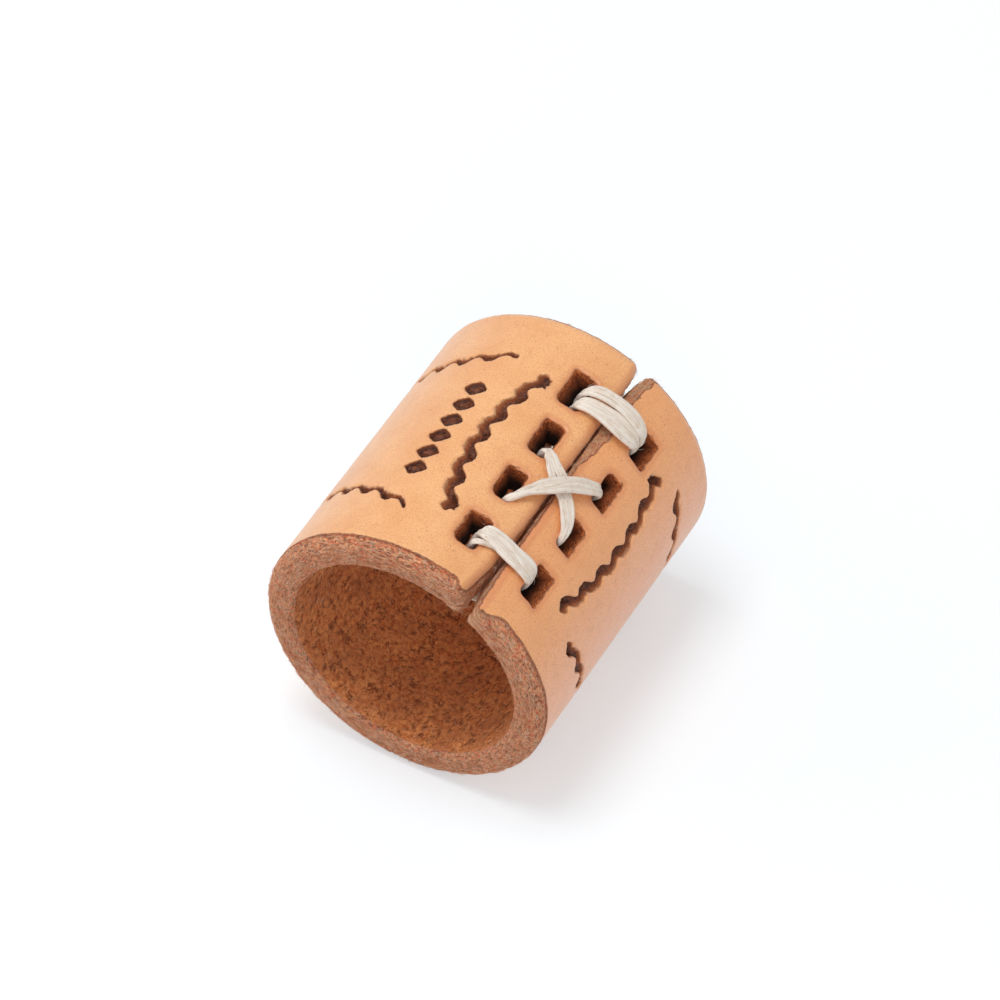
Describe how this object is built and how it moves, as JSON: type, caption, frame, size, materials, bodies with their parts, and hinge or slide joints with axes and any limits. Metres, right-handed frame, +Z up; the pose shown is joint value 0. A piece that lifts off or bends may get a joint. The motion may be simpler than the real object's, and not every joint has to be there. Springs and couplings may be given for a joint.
{
  "type": "leather neckerchief slide",
  "caption": "Open leather sleeve, laced along its seam with waxed thread, that slides over a rolled neckerchief and holds it.",
  "frame": {"origin": "centre of the footprint, on the surface that the sleeve lies on", "axes": "+Z up; +Y along the sleeve's axis, from its knotted end to its other end; the seam is turned 31 degrees from the top towards +X"},
  "size_m": [0.03, 0.034, 0.0303],
  "materials": {
    "leather": "undyed vegetable-tanned leather, smooth grain outside, rough flesh side inside, burnished edges",
    "waxed_thread": "off-white waxed thread, flat bundles of fibre"
  },
  "bodies": {
    "root": {"leather_sleeve": "leather", "lacing_thread": "waxed_thread", "lacing_knot": "waxed_thread"}
  },
  "joints": []
}
